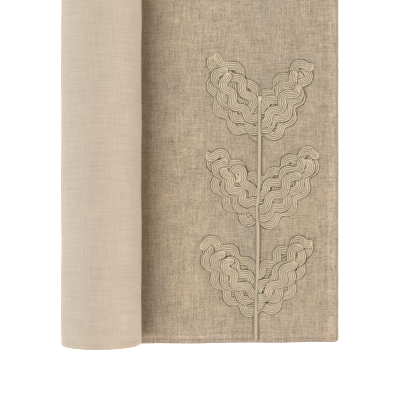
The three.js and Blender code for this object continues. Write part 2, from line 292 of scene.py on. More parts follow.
def cotton_finish():
    """A fine pale weave with faint uneven threads."""
    f = Finish("soft cotton lining")
    along, across = f.cloth_place()
    warp_streak = f.noise(along / 26.0, across / 0.6, 2.2, 2.0)
    weft_streak = f.noise(along / 0.6, across / 24.0, 6.1, 2.0)
    clouds = f.noise(along / 55.0, across / 70.0, 9.4, 2.0)
    weave = f.plain_weave(along, across, COTTON_WEAVE)
    colour = f.mix(clouds.ease(0.3, 0.7), COTTON_ROSE, COTTON_CREAM)
    tone = 0.58 + (warp_streak + weft_streak) * 0.4 + (weave - 0.5) * 0.2
    height = weave * 0.5 + (warp_streak + weft_streak) * 0.4
    return f.close(base_color=f.shade(colour, tone), roughness=0.88, sheen_weight=0.1,
                   specular_ior_level=0.25, normal=f.relief(height, 0.1))


def attribute(finish, name):
    """A number that a piece carries at each of its points."""
    return finish.node("ShaderNodeAttribute", {"attribute_name": name}, output=2)


def object_place(finish):
    """Millimetres along the object's own three directions."""
    place = finish.node("ShaderNodeTexCoord", None, None, output=3)
    return [part * PER_METRE for part in finish.parts(place)]


def painted_shade_crown(finish):
    """1 on top of a sewn cord, 0 down its sides: the mask for shade painted down the sides."""
    facing = finish.node("ShaderNodeTexCoord", None, None, output=1)
    return finish.parts(facing)[2].ease(0.45, 0.98)


def braid_finish():
    """Plaited cords, with shade painted down their sides and a painted shadow line on the thin edge
    threads, both in patches.
    """
    f = Finish("wavy cotton braid")
    along = attribute(f, "along")
    across = attribute(f, "across")
    x, y, z = object_place(f)
    clouds = f.noise(x / 16.0, y / 16.0, z / 16.0, 2.0)
    fibres = f.noise(along / 2.2, across * 9.0, x / 30.0, 3.0, 0.6)
    plait = (along * (2 * math.pi / PLAIT_PITCH) + across * 9.4).sine() * 0.5 + 0.5
    colour = f.mix(clouds.ease(0.32, 0.68), BRAID_PALE, BRAID_WARM)
    # painted shadow: the thin edge threads are darkened in colour to stand for the shade along each
    # row's edge
    edge_thread_shade = (across - 0.5).size().ease(0.52, 0.56)
    # patches where the painted shade is deeper
    patchy_painted_shade = f.noise(x / 6.5, y / 6.5, z / 6.5, 2.0).ease(0.38, 0.62)
    # painted shade: darker down the sides of each cord and lighter on top, by which way the surface
    # faces
    top = painted_shade_crown(f)
    tone = (0.2 - patchy_painted_shade * 0.15 + top * (0.75 + patchy_painted_shade * 0.19)) * (0.58 + fibres * 0.7 + plait * 0.08)
    tone = tone * (1 - edge_thread_shade * (0.54 + patchy_painted_shade * 0.4))
    height = plait * 0.6 + fibres * 0.4
    return f.close(base_color=f.shade(colour, tone), roughness=0.86, sheen_weight=0.1,
                   specular_ior_level=0.3, normal=f.relief(height, 0.16))


def stem_finish():
    """A twisted cord with a lighter cut end, and shade painted down its sides."""
    f = Finish("round stem cord")
    along = attribute(f, "along")
    around = attribute(f, "around")
    x, y, z = object_place(f)
    clouds = f.noise(x / 12.0, y / 20.0, z / 12.0, 2.0)
    ply = (along * (2 * math.pi / STEM_TWIST) + around * (4 * math.pi)).sine() * 0.5 + 0.5
    fibres = f.noise(along / 3.0, around * 12.0, 4.4, 2.0)
    cut_end = along.ease(STEM_LENGTH - 5.0, STEM_LENGTH - 2.0)
    colour = f.mix(cut_end, f.mix(clouds.ease(0.3, 0.7), BRAID_PALE, BRAID_WARM), CUT_END)
    # painted shade: the stem's colour darkens down its sides, by which way the surface faces
    tone = (0.26 + painted_shade_crown(f) * 0.46) * (0.8 + ply * 0.2 + fibres * 0.24)
    return f.close(base_color=f.shade(colour, tone), roughness=0.82, sheen_weight=0.1,
                   specular_ior_level=0.3, normal=f.relief(ply * 0.7 + fibres * 0.3, 0.2))


def thread_finish():
    """Twisted sewing thread."""
    f = Finish("linen sewing thread")
    x, y, z = object_place(f)
    twist = ((x + y + z) * (2 * math.pi / THREAD_TWIST)).sine() * 0.5 + 0.5
    wear = f.noise(x / 5.0, y / 5.0, z / 5.0, 2.0)
    tone = 0.86 + wear * 0.2 + twist * 0.06
    return f.close(base_color=f.shade(THREAD_COLOUR, tone), roughness=0.7,
                   specular_ior_level=0.35, normal=f.relief(twist, 0.05))


def pale_finish(name, glow):
    """Matt white with a glow of its own, so that it stays white beyond the lights."""
    f = Finish(name)
    x, y, z = object_place(f)
    grain = f.noise(x / 400.0, y / 400.0, z, 2.0)
    colour = f.mix(grain, (0.93, 0.93, 0.93, 1.0), (0.96, 0.96, 0.96, 1.0))
    return f.close(base_color=colour, roughness=0.9, specular_ior_level=0.1,
                   emission_color=(1.0, 1.0, 1.0, 1.0), emission_strength=glow)


# ---- how the cloth lies -------------------------------------------------------------------------
def lift(along, across):
    """The flat part doesn't lie quite flat: how far it stands off the table."""
    wave = 0.5 + 0.25 * np.sin(along / 15.4 + 0.8) * np.cos(across / 22.4 + 0.4)
    wave = wave + 0.25 * np.sin((along + 0.6 * across) / 26.0 + 2.0)
    return 0.8 * wave * smooth((FLAT_LENGTH - 20 - along) / 40)


def edge_hem(distance, stitch_inset, reach):
    """Rise over the turned-in allowance, pressed down along the topstitching."""
    ridge = smooth(distance / 1.6) * smooth((reach + 1.2 - distance) / 2.4)
    return HEM_RISE * ridge * (1 - 0.85 * bump(distance, stitch_inset, 0.8))


def hem(along, across):
    """Rise of the linen over the hems. across is from the middle of the cloth."""
    side = edge_hem(RUNNER_WIDTH / 2 - np.abs(across), SIDE_STITCH_INSET, SIDE_HEM)
    end = edge_hem(along, END_STITCH_INSET, END_HEM)
    far = edge_hem(RUNNER_LENGTH - along, END_STITCH_INSET, END_HEM)
    return np.maximum(np.maximum(side, end), far)


def roll_turns(rolled):
    """Turns of the roll after this length of cloth has gone into it."""
    left = np.maximum(MIDDLE_RADIUS ** 2 - rolled * TURN_PITCH / math.pi, 1.0)
    return (MIDDLE_RADIUS - np.sqrt(left)) / TURN_PITCH


def cloth_point(along, across, depth):
    """Places of points of the cloth, at a depth in from the lining's outside."""
    rolled = np.maximum(along - FLAT_LENGTH, 0.0)
    turns = roll_turns(rolled)
    angle = 2 * math.pi * turns
    # The outer turn stands a little loose, and the turns aren't quite round.
    loose = 1.6 * smooth(turns / 0.22) * smooth((1.2 - turns) / 0.4)
    sway = 0.42 * np.sin(across / 17.5 + 1.3 + angle) + 0.22 * np.sin(across / 7.4 + 2 * angle)
    radius = ROLL_RADIUS - TURN_PITCH * turns + loose + sway * (1 - np.cos(angle)) / 2
    on_roll = rolled > 0
    sine, cosine = np.sin(angle), np.cos(angle)
    reach = radius - depth
    creep = np.where(on_roll, ROLL_RADIUS * angle, along - FLAT_LENGTH)
    begin = ROLL_RADIUS * CREEP_START
    shift = ROLL_SHIFT * smooth((creep + begin) / (begin + ROLL_RADIUS * math.pi / 2))
    shift = shift + 0.7 * np.sin(2.3 * turns) * smooth(turns - 0.2)
    shift = shift + END_SKEW * smooth(1 - along / FLAT_LENGTH)
    shift = shift + 0.25 * np.sin(along / 13.0) * smooth((FLAT_LENGTH - along) / 40)
    x = np.where(on_roll, ROLL_X - reach * sine, END_X - along)
    z = np.where(on_roll, ROLL_RADIUS - reach * cosine, depth + lift(along, across))
    y = (FRONT_Y + BACK_Y) / 2 + across + shift
    return np.stack([x, y, z], axis=-1)


def linen_top(along, across):
    """Depth of the linen's face from the lining's outside."""
    return STACK + hem(along, across)


# ---- meshes -------------------------------------------------------------------------------------
def make_mesh(name, points, faces, edges=()):
    """A mesh from places in millimetres."""
    mesh = bpy.data.meshes.new(name)
    mesh.from_pydata((np.asarray(points) * MM).tolist(), list(edges), faces)
    mesh.update()
    return mesh


def make_piece(name, mesh, material=None):
    """An object in the scene that holds the mesh."""
    piece = bpy.data.objects.new(name, mesh)
    bpy.context.scene.collection.objects.link(piece)
    if material is not None:
        mesh.materials.clear()
        mesh.materials.append(material)
    return piece


def turn_outward(mesh):
    """A closed mesh whose faces point inwards is turned inside out."""
    mesh.calc_loop_triangles()
    points = np.empty(len(mesh.vertices) * 3)
    mesh.vertices.foreach_get("co", points)
    points = points.reshape(-1, 3)
    corners = np.empty(len(mesh.loop_triangles) * 3, int)
    mesh.loop_triangles.foreach_get("vertices", corners)
    a, b, c = (points[corners.reshape(-1, 3)[:, i]] for i in range(3))
    if (a * np.cross(b, c)).sum() < 0:
        mesh.flip_normals()


def in_service(piece, nodes):
    """Puts a finished piece on the runner's one body, in place of its CAD nodes."""
    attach(piece, "root")
    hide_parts(*nodes)
    return piece


# ---- the two cloths -----------------------------------------------------------------------------
FLAT_STEPS = 78
ROLLED_STEPS = 525
MIDDLE_STEPS = 42
NEAR_EDGE = np.array([0, 0.15, 0.5, 1.0, 1.8, 3.0, 3.9, 4.5, 5.1, 6.0, 7.6, 9.2, 10.4, 12.0])


def cloth_grid():
    """Places along the runner, and for each one the places across, from edge to edge."""
    corner = CORNER_RADIUS * (1 - np.cos(np.linspace(0, math.pi / 2, 7)))
    flat = np.linspace(CORNER_RADIUS, FLAT_LENGTH, FLAT_STEPS)[1:]
    rolled_turns = np.linspace(0, roll_turns(RUNNER_LENGTH - FLAT_LENGTH), ROLLED_STEPS)[1:]
    rolled = math.pi * (2 * MIDDLE_RADIUS * rolled_turns - TURN_PITCH * rolled_turns ** 2)
    along = np.concatenate([corner, flat, FLAT_LENGTH + rolled])
    in_corner = np.maximum(CORNER_RADIUS - along, 0.0)
    trim = CORNER_RADIUS - np.sqrt(CORNER_RADIUS ** 2 - in_corner ** 2)
    half = RUNNER_WIDTH / 2
    inner = half - NEAR_EDGE[-1]
    middle = np.linspace(-inner, inner, MIDDLE_STEPS)[1:-1]
    across = np.concatenate([-half + NEAR_EDGE, middle, (half - NEAR_EDGE)[::-1]])
    scale = (half - trim)[:, None] / half
    return np.broadcast_to(along[:, None], (len(along), len(across))), across[None, :] * scale


def edge_round(along, across, reach):
    """1 at the very edge of the cloth, 0 from reach inwards, round between."""
    side = RUNNER_WIDTH / 2 - np.abs(across)
    corner = CORNER_RADIUS - np.hypot(np.maximum(CORNER_RADIUS - along, 0),
                                      np.maximum(CORNER_RADIUS - side, 0))
    distance = np.minimum(np.minimum(side, along), RUNNER_LENGTH - along)
    distance = np.where((along < CORNER_RADIUS) & (side < CORNER_RADIUS), corner, distance)
    inward = np.clip(1 - distance / reach, 0, 1)
    return 1 - np.sqrt(1 - inward ** 2)


def cloth_piece(name, upper_depth, lower_depth, material):
    """A closed sheet between two depths, with a map of the cloth as cut."""
    along, across = cloth_grid()
    rows, columns = along.shape
    upper = cloth_point(along, across, upper_depth(along, across)).reshape(-1, 3)
    lower = cloth_point(along, across, lower_depth(along, across)).reshape(-1, 3)
    count = rows * columns
    cell = (np.arange(rows - 1)[:, None] * columns + np.arange(columns - 1)[None, :]).reshape(-1)
    top = np.stack([cell, cell + 1, cell + columns + 1, cell + columns], axis=1)
    rim = np.concatenate([
        np.arange(columns), np.arange(1, rows) * columns + columns - 1,
        (rows - 1) * columns + np.arange(columns - 2, -1, -1),
        np.arange(rows - 2, 0, -1) * columns])
    after = np.roll(rim, -1)
    wall = np.stack([rim, rim + count, after + count, after], axis=1)
    faces = np.concatenate([top, top[:, ::-1] + count, wall])
    mesh = make_mesh(name, np.concatenate([upper, lower]), faces.tolist())
    laid_out = np.tile(np.stack([along.reshape(-1), across.reshape(-1)], axis=1) * MM, (2, 1))
    corners = np.empty(len(mesh.loops), int)
    mesh.loops.foreach_get("vertex_index", corners)
    cloth_map = mesh.uv_layers.new(name="cloth")
    cloth_map.data.foreach_set("uv", laid_out[corners].reshape(-1))
    turn_outward(mesh)
    mesh.shade_smooth()
    mesh.set_sharp_from_angle(angle=math.radians(60))
    return make_piece(name, mesh, material)


# The faces of the two cloths, as depths from the lining's outside.
def linen_upper(along, across):
    return linen_top(along, across) - (LINEN_THICKNESS - 0.05) * edge_round(along, across, 1.5)


def linen_lower(along, across):
    rise = hem(along, across) * (1 - edge_round(along, across, 1.5))
    return STACK - LINEN_THICKNESS + 0.8 * rise - 0.1 * edge_round(along, across, 1.2)


def stitch_groove(along, across):
    """How far the stitching pulls the lining in."""
    side = bump(RUNNER_WIDTH / 2 - np.abs(across), SIDE_STITCH_INSET, 0.7)
    end = bump(along, END_STITCH_INSET, 0.7)
    return 0.22 * np.maximum(side, end)


def lining_upper(along, across):
    return LINING_THICKNESS + 0.1 * edge_round(along, across, 1.2) + stitch_groove(along, across)


def lining_lower(along, across):
    return (LINING_THICKNESS - 0.05) * edge_round(along, across, 1.2) + stitch_groove(along, across)


linen = cloth_piece("linen_cloth", linen_upper, linen_lower, linen_finish())
lining = cloth_piece("cotton_cloth", lining_upper, lining_lower, cotton_finish())


# ---- pieces that follow a line: Geometry Nodes --------------------------------------------------
class Pattern(Tree):
    """A Geometry Nodes tree with named inputs."""

    def __init__(self, name, inputs):
        super().__init__(bpy.data.node_groups.new(name, "GeometryNodeTree"))
        face = self.nodes.interface
        face.new_socket("Line", in_out="INPUT", socket_type="NodeSocketGeometry")
        self.keys = {}
        for label, kind, start in inputs:
            socket = face.new_socket(label, in_out="INPUT", socket_type=kind)
            if start is not None:
                socket.default_value = start
            self.keys[label] = socket.identifier
        face.new_socket("Piece", in_out="OUTPUT", socket_type="NodeSocketGeometry")
        self.entry = self.nodes.nodes.new("NodeGroupInput")

    def given(self, label):
        """One of the pattern's named inputs."""
        return Wire(self, self.entry.outputs[label])

    def vector(self, x, y, z):
        return self.node("ShaderNodeCombineXYZ", None, {0: x, 1: y, 2: z})

    def close(self, shape):
        """Ends the pattern in plain geometry with its material on."""
        whole = self.node("GeometryNodeRealizeInstances", None, {0: shape})
        done = self.node("GeometryNodeSetMaterial", None,
                         {"Geometry": whole, "Material": self.given("Material")})
        self.node("NodeGroupOutput", None, {0: done})

    def run(self, name, line, values):
        """The pattern's result on a line, as a plain piece of its own."""
        carrier = bpy.data.objects.new(name + " line", line)
        bpy.context.scene.collection.objects.link(carrier)
        modifier = carrier.modifiers.new("pattern", "NODES")
        modifier.node_group = self.nodes
        for label, value in values.items():
            modifier[self.keys[label]] = value
        carrier.update_tag()
        depsgraph = bpy.context.evaluated_depsgraph_get()
        mesh = bpy.data.meshes.new_from_object(carrier.evaluated_get(depsgraph))
        mesh.name = name
        carrier.modifiers.remove(modifier)
        bpy.data.objects.remove(carrier)
        turn_outward(mesh)
        return make_piece(name, mesh)


def swept_pattern():
    """A soft cord of flattened round section along each line. Stores how far along the line each
    point is, in millimetres, and how far round the section, 0 to 1."""
    p = Pattern("cord along a line", [
        ("Width", "NodeSocketFloat", 0.001), ("Height", "NodeSocketFloat", 0.001),
        ("Sides", "NodeSocketInt", 8), ("Material", "NodeSocketMaterial", None)])
    path = p.node("GeometryNodeMeshToCurve", None, {0: p.given("Line")})
    path = p.node("GeometryNodeSetCurveNormal", {"mode": "Z_UP"}, {0: path})
    length = p.node("GeometryNodeSplineParameter", None, None, output=1)
    path = p.node("GeometryNodeStoreNamedAttribute", {"data_type": "FLOAT", "domain": "POINT"},
                  {"Geometry": path, "Name": "along", "Value": length * PER_METRE})
    ring = p.node("GeometryNodeCurvePrimitiveCircle", None,
                  {"Resolution": p.given("Sides"), "Radius": 0.5})
    factor = p.node("GeometryNodeSplineParameter", None, None, output=0)
    ring = p.node("GeometryNodeStoreNamedAttribute", {"data_type": "FLOAT", "domain": "POINT"},
                  {"Geometry": ring, "Name": "around", "Value": factor})
    flat = p.vector(p.given("Width"), p.given("Height"), 1.0)
    ring = p.node("GeometryNodeTransform", None, {"Geometry": ring, "Scale": flat})
    girth = p.node("GeometryNodeInputNamedAttribute", {"data_type": "FLOAT"}, {"Name": "girth"})
    swept = p.node("GeometryNodeCurveToMesh", None,
                   {"Curve": path, "Profile Curve": ring, "Scale": girth, "Fill Caps": True})
    p.close(p.node("GeometryNodeSetShadeSmooth", None, {"Geometry": swept}))
    return p


def stitch_pattern():
    """Small rounded stitches at even steps along each line, with their backs to the cloth."""
    p = Pattern("stitches along a line", [
        ("Pitch", "NodeSocketFloat", 0.003), ("Stitch length", "NodeSocketFloat", 0.002),
        ("Thread width", "NodeSocketFloat", 0.0006), ("Thread height", "NodeSocketFloat", 0.0004),
        ("Seed", "NodeSocketInt", 7), ("Material", "NodeSocketMaterial", None)])
    path = p.node("GeometryNodeMeshToCurve", None, {0: p.given("Line")})
    spots = p.node("GeometryNodeResampleCurve", {"mode": "LENGTH"},
                   {"Curve": path, "Length": p.given("Pitch")})
    tangent = p.node("GeometryNodeInputTangent")
    outward = p.node("GeometryNodeInputNamedAttribute", {"data_type": "FLOAT_VECTOR"},
                     {"Name": "outward"})
    facing = p.node("FunctionNodeAlignRotationToVector", {"axis": "X"}, {"Vector": tangent})
    facing = p.node("FunctionNodeAlignRotationToVector", {"axis": "Z", "pivot_axis": "X"},
                    {"Rotation": facing, "Vector": outward})
    skew = p.node("FunctionNodeRandomValue", {"data_type": "FLOAT"},
                  {2: -STITCH_SKEW, 3: STITCH_SKEW, "Seed": p.given("Seed")}, output=1)
    facing = p.node("FunctionNodeRotateRotation", {"rotation_space": "LOCAL"},
                    {0: facing, 1: p.vector(0.0, 0.0, skew)})
    grain = p.node("GeometryNodeMeshUVSphere", None, {"Segments": 6, "Rings": 4, "Radius": 0.5})
    size = p.vector(p.given("Stitch length"), p.given("Thread width"), p.given("Thread height"))
    grain = p.node("GeometryNodeTransform", None, {"Geometry": grain, "Scale": size})
    grain = p.node("GeometryNodeSetShadeSmooth", None, {"Geometry": grain})
    p.close(p.node("GeometryNodeInstanceOnPoints", None,
                   {"Points": spots, "Instance": grain, "Rotation": facing}))
    return p


def line_mesh(name, lines, **attributes):
    """Open lines as one mesh of edges, with a value or a vector at each point."""
    points = np.concatenate(lines)
    starts = np.cumsum([0] + [len(line) for line in lines])
    edges = [(i, i + 1) for a, b in zip(starts, starts[1:]) for i in range(a, b - 1)]
    mesh = make_mesh(name, points, [], edges)
    for label, values in attributes.items():
        values = np.concatenate(values)
        kind, field = ("FLOAT", "value") if values.ndim == 1 else ("FLOAT_VECTOR", "vector")
        mesh.attributes.new(label, kind, "POINT").data.foreach_set(field, values.reshape(-1))
    return mesh


swept = swept_pattern()
stitches = stitch_pattern()


# ---- topstitching -------------------------------------------------------------------------------
def stitch_line(along, across, depth, faces_in):
    """A line of stitching on one side of the cloth, and the way that side faces."""
    line = cloth_point(along, across, depth)
    deeper = cloth_point(along, across, depth + 0.1)
    outward = (deeper - line) / 0.1
    return line, outward if faces_in else -outward


def stitching(name, along, across, node):
    """One row of stitches, on both sides of the runner."""
    linen_side = stitch_line(along, across, STACK + 0.14, True)
    lining_side = stitch_line(along, across, 0.12, False)
    lines, outward = zip(linen_side, lining_side)
    line = line_mesh(name, lines, outward=outward)
    piece = stitches.run(name, line, {
        "Pitch": STITCH_PITCH * MM, "Stitch length": STITCH_LENGTH * MM,
        "Thread width": THREAD_WIDTH * MM, "Thread height": THREAD_HEIGHT * MM,
        "Seed": 7, "Material": THREAD})
    return in_service(piece, [node])


THREAD = thread_finish()
half_width = RUNNER_WIDTH / 2
side_along = np.concatenate([np.arange(4.0, FLAT_LENGTH, 2.0),
                             np.arange(FLAT_LENGTH, RUNNER_LENGTH - 4, 1.5)])
side_across = np.full(len(side_along), half_width - SIDE_STITCH_INSET)
end_across = np.linspace(-half_width + CORNER_RADIUS, half_width - CORNER_RADIUS, 180)
trims = [
    stitching("front_stitches", side_along, -side_across, "topstitch_front"),
    stitching("back_stitches", side_along, side_across, "topstitch_back"),
    stitching("end_stitches", np.full(len(end_across), END_STITCH_INSET), end_across,
              "topstitch_end"),
]


# ---- smooth lines through points ----------------------------------------------------------------
def smooth_line(points, step):
    """A rounded line through points, at even steps, with its direction and length at each one."""
    points = np.asarray(points, float)
    padded = np.concatenate([[2 * points[0] - points[1]], points, [2 * points[-1] - points[-2]]])
    fine = []
    t = np.linspace(0, 1, 40, endpoint=False)[:, None]
    for i in range(len(points) - 1):
        a, b, c, d = padded[i:i + 4]
        fine.append(0.5 * (2 * b + (c - a) * t + (2 * a - 5 * b + 4 * c - d) * t ** 2
                           + (3 * b - a - 3 * c + d) * t ** 3))
    fine = np.concatenate(fine + [points[-1:]])
    travelled = np.concatenate([[0], np.cumsum(np.linalg.norm(np.diff(fine, axis=0), axis=1))])
    count = max(2, round(travelled[-1] / step) + 1)
    at = np.linspace(0, travelled[-1], count)
    line = np.stack([np.interp(at, travelled, fine[:, k]) for k in range(fine.shape[1])], axis=1)
    heading = np.gradient(line, at, axis=0)
    heading /= np.linalg.norm(heading, axis=1)[:, None]
    return line, heading, at


# ---- the branch: what lies on what --------------------------------------------------------------
GRID_STEP = 0.35
GRID_LOW = np.array([STEM_X - 72.0, FRONT_Y + 24.0])
GRID_SIZE = np.array([144.0, 272.0])
EDGE_DROP = 0.35              # a cord's top is this much lower at the end of its reach


class Heights:
    """Height of the uppermost thing at each spot of the flat part, as a grid."""

    def __init__(self):
        columns, rows = np.ceil(GRID_SIZE / GRID_STEP).astype(int)
        x = GRID_LOW[0] + GRID_STEP * np.arange(columns)
        y = GRID_LOW[1] + GRID_STEP * np.arange(rows)
        self.top = surface_height(*np.meshgrid(x, y, indexing="ij"))

    def cells(self, x, y):
        """The grid's cell for each place."""
        i = np.round((x - GRID_LOW[0]) / GRID_STEP).astype(int)
        j = np.round((y - GRID_LOW[1]) / GRID_STEP).astype(int)
        return np.clip(i, 0, self.top.shape[0] - 1), np.clip(j, 0, self.top.shape[1] - 1)

    def beneath(self, x, y, reach):
        """The greatest height within reach of each point."""
        turns = np.arange(8) * math.pi / 4
        offsets = [(0, 0)] + [(reach * math.cos(a), reach * math.sin(a)) for a in turns]
        return np.max([self.top[self.cells(x + dx, y + dy)] for dx, dy in offsets], axis=0)

    def cover(self, x, y, height, reach):
        """Raises the ground around each point to a cord's top."""
        spread = int(reach / GRID_STEP) + 1
        for di in range(-spread, spread + 1):
            for dj in range(-spread, spread + 1):
                away = math.hypot(di, dj) * GRID_STEP
                if away > reach:
                    continue
                i, j = self.cells(x + di * GRID_STEP, y + dj * GRID_STEP)
                drop = EDGE_DROP * (away / reach) ** 2
                np.maximum.at(self.top, (i.reshape(-1), j.reshape(-1)), (height - drop).reshape(-1))


def surface_height(x, y):
    """Top of the linen on the flat part."""
    along = END_X - x
    across = y - (FRONT_Y + BACK_Y) / 2
    return lift(along, across) + linen_top(along, across)


def row(name, bulge, crest, wave, *path):
    """A row of braid: its name, which way its first crest bulges (1 towards the leaf's lower edge,
    -1 towards its upper edge), where along it that crest is, the wave's length, and the middle
    line from the leaf's tip to the stem, as distances out from the stem and up from the root."""
    return name, bulge, crest, wave, path


# Each leaf: its number and side, its root above the front edge, and its rows in sewing order.
LEAVES = [
    ("leaf_1_left", -1, 206, [
        row("low_rim", 1, 5.5, 24, (43.5, 81), (44.5, 57), (41, 37), (32.5, 21.5), (18, 8.5),
            (-2, 3)),
        row("high_rim", -1, 0.5, 25, (45, 79.5), (35, 75.5), (26, 70.5), (17, 64.5), (10, 54),
            (-2, 40)),
        row("second", 1, 13, 21.5, (34, 71), (40, 60), (34.5, 41), (23.5, 25), (7, 11), (-2, 9)),
        row("heart", -1, 14, 22, (28, 66), (19, 56), (12, 46), (6.5, 35), (5, 24)),
        row("third", 1, 12, 20.5, (33, 64), (31.5, 51), (25.5, 39), (15, 26), (-2, 18)),
    ]),
    ("leaf_1_right", 1, 206, [
        row("low_rim", 1, 14, 22, (51, 74), (48, 61), (42, 48), (39.5, 37), (26, 10.5),
            (15, 4.5), (0, 3.5)),
        row("high_rim", -1, 16, 22.5, (56, 72), (45, 72.5), (28, 61.5), (18.5, 51), (11.5, 44),
            (0, 39)),
        row("heart", 1, 10, 22.5, (42, 52), (35, 35), (25, 22), (14, 14), (0, 9)),
        row("second", -1, 21, 19, (40, 63), (24, 48), (13.5, 36), (0, 29)),
        row("third", -1, 16, 21, (40, 50), (27.5, 39.5), (14.5, 23.5), (0, 13)),
    ]),
    ("leaf_2_left", -1, 119, [
        row("low_rim", 1, 12, 22.4, (46, 73), (43.5, 61), (39.5, 38.5), (28, 21), (11, 6.5),
            (-2, 5)),
        row("high_rim", -1, 15, 20, (51.5, 71), (36, 68.5), (26.5, 63), (19, 57), (10, 49.5),
            (-2, 44)),
        row("second", 1, 12.5, 21.5, (34, 67), (39, 55.5), (29.5, 36.5), (17, 19), (-2, 11)),
        row("heart", -1, 12, 24, (24, 43), (23, 51), (17.5, 52.5), (13, 46), (9, 37), (4.5, 27)),
        row("third", 1, 2.5, 18.5, (31, 57), (30.5, 48), (25, 38), (12.5, 25.5), (-2, 19)),
    ]),
    ("leaf_2_right", 1, 119, [
        row("low_rim", 1, 11.7, 23.2, (58, 68), (54, 57), (45, 35.5), (31, 16.5), (13, 3.5),
            (0, 2.5)),
        row("high_rim", -1, 12, 20, (61, 72), (49, 71.5), (32, 64), (15, 50.5), (0, 46)),
        row("heart", 1, 8, 22, (51, 65), (49, 54), (39, 39.5), (31, 28), (22, 18), (10, 11.5),
            (0, 9)),
        row("second", -1, 22, 20.8, (48, 63), (39, 57), (29, 51.5), (12, 39), (0, 30)),
        row("third", -1, 12.4, 24, (40, 53), (31.5, 43.5), (23, 34), (14.5, 26.5), (0, 15)),
    ]),
    ("leaf_3_left", -1, 30, [
        row("low_rim", 1, 18, 21.3, (51, 70), (49.5, 52), (39.5, 32.5), (26.5, 16), (9.5, 4.5),
            (-2, 2)),
        row("high_rim", -1, 12, 21.6, (58, 69.5), (46, 71.5), (35, 67.5), (17, 56), (9, 48.5),
            (-2, 38)),
        row("second", 1, 12, 22.7, (37, 64), (40.5, 52.5), (29.5, 32), (13.5, 17), (-2, 13)),
        row("heart", -1, 13, 20.5, (38, 54), (28, 51.5), (20, 45), (12, 38.5), (6, 28.5)),
        row("third", 1, 8, 20, (28, 56), (30, 47), (24, 35), (13, 26), (-2, 21)),
    ]),
    ("leaf_3_right", 1, 30, [
        row("low_rim", 1, 10.4, 22.5, (51, 75), (48, 65), (40.5, 44), (31, 23.5), (15, 7.5),
            (-2, 4.5)),
        row("high_rim", -1, 14, 20, (54, 73), (40, 71), (23, 61), (13, 50), (-2, 41)),
        row("heart", 1, 12, 22, (46, 67), (41, 57), (33, 41), (23, 25), (11, 15), (-2, 11)),
        row("second", -1, 9, 24, (42, 70), (37, 63), (30, 54), (23, 45), (14, 36), (-2, 22)),
        row("third", -1, 13, 21.5, (35, 54), (28, 43), (22, 34), (14, 25.5), (-2, 15)),
    ]),
]

# Points of the stem line: sideways from the stem's place, and up from the front edge.
STEM_LINE = [(-2, 5), (-2, 28), (-1, 54), (0, 90), (0, 115), (-0.5, 138), (1, 152), (1.5, 195),
             (2, 247)]
stem_plan, _, stem_at = smooth_line([(STEM_X + side, FRONT_Y + up) for side, up in STEM_LINE], 2.0)
STEM_LENGTH = stem_at[-1]


def stem_side(y):
    """The stem's middle, sideways, at each place up the runner."""
    return np.interp(y, stem_plan[:, 1], stem_plan[:, 0])


BRAID_STEP = 0.8
END_TAPER = 3.5               # a braid's end is drawn in over this length
GROUND_SWING = 0.5            # wave of the rows beneath, as a share of the others'
GROUND_CREST = 4.0            # where their first crest lies
GROUND_WAVE = 21.0            # and how long their waves are
SETTLE_ROUNDS = 5
FEEL_REACH = 0.7              # a cord rests on what lies within this reach of its middle
CORD_REACH = 0.85             # and raises the ground this far around it
STEM_CLEARANCE = 1.2          # braids stop this far beyond the stem's middle

# Each row beneath: its place from the low rim, 0, to the high rim, 1, and its start and end as
# shares of the rims' lengths.
GROUND_ROWS = [(0.5, 0.06, 0.36), (0.2, 0.34, 1), (0.8, 0.34, 1), (0.4, 0.22, 1), (0.6, 0.22, 1)]


def braid_plan(side, root, bulge, crest, wave, path):
    """Plan positions of a braid's cords: station along, cord across."""
    line, heading, at = smooth_line(path, BRAID_STEP)
    phase = 2 * math.pi * (at - crest) / wave
    swing = bulge * BRAID_SWING * np.cos(phase)
    slope = BRAID_SWING * 2 * math.pi / wave * np.sin(phase)
    half = BRAID_WIDTH / 2 * np.hypot(1, slope)
    drawn_in = np.sqrt(np.clip(1 - np.clip(1 - at / END_TAPER, 0, 1) ** 2, 0.05, 1))
    if path[-1][0] > 3:
        drawn_in *= np.sqrt(np.clip(1 - np.clip(1 - (at[-1] - at) / END_TAPER, 0, 1) ** 2, 0.05, 1))
    lanes = (np.arange(BRAID_CORDS) + 0.5) * 2 / BRAID_CORDS - 1
    offset = swing[:, None] + (half * drawn_in)[:, None] * lanes[None, :]
    x = STEM_X + side * (line[:, :1] - heading[:, 1:] * offset)
    y = FRONT_Y + root + line[:, 1:] + heading[:, :1] * offset
    return x, y


def settle(support):
    """A braid's underside over what supports it: it bends over steps, and sinks in at their edges."""
    height = support.copy()
    for _ in range(SETTLE_ROUNDS):
        soft = height.copy()
        for _ in range(3):
            ends = np.concatenate([soft[:1], soft, soft[-1:]])
            soft = (ends[:-2] + 2 * ends[1:-1] + ends[2:]) / 4
        edges = np.concatenate([soft[:, :1], soft, soft[:, -1:]], axis=1)
        soft = (edges[:, :-2] + 2 * edges[:, 1:-1] + edges[:, 2:]) / 4
        height = np.maximum(support, soft)
    return 0.5 * (height + soft)


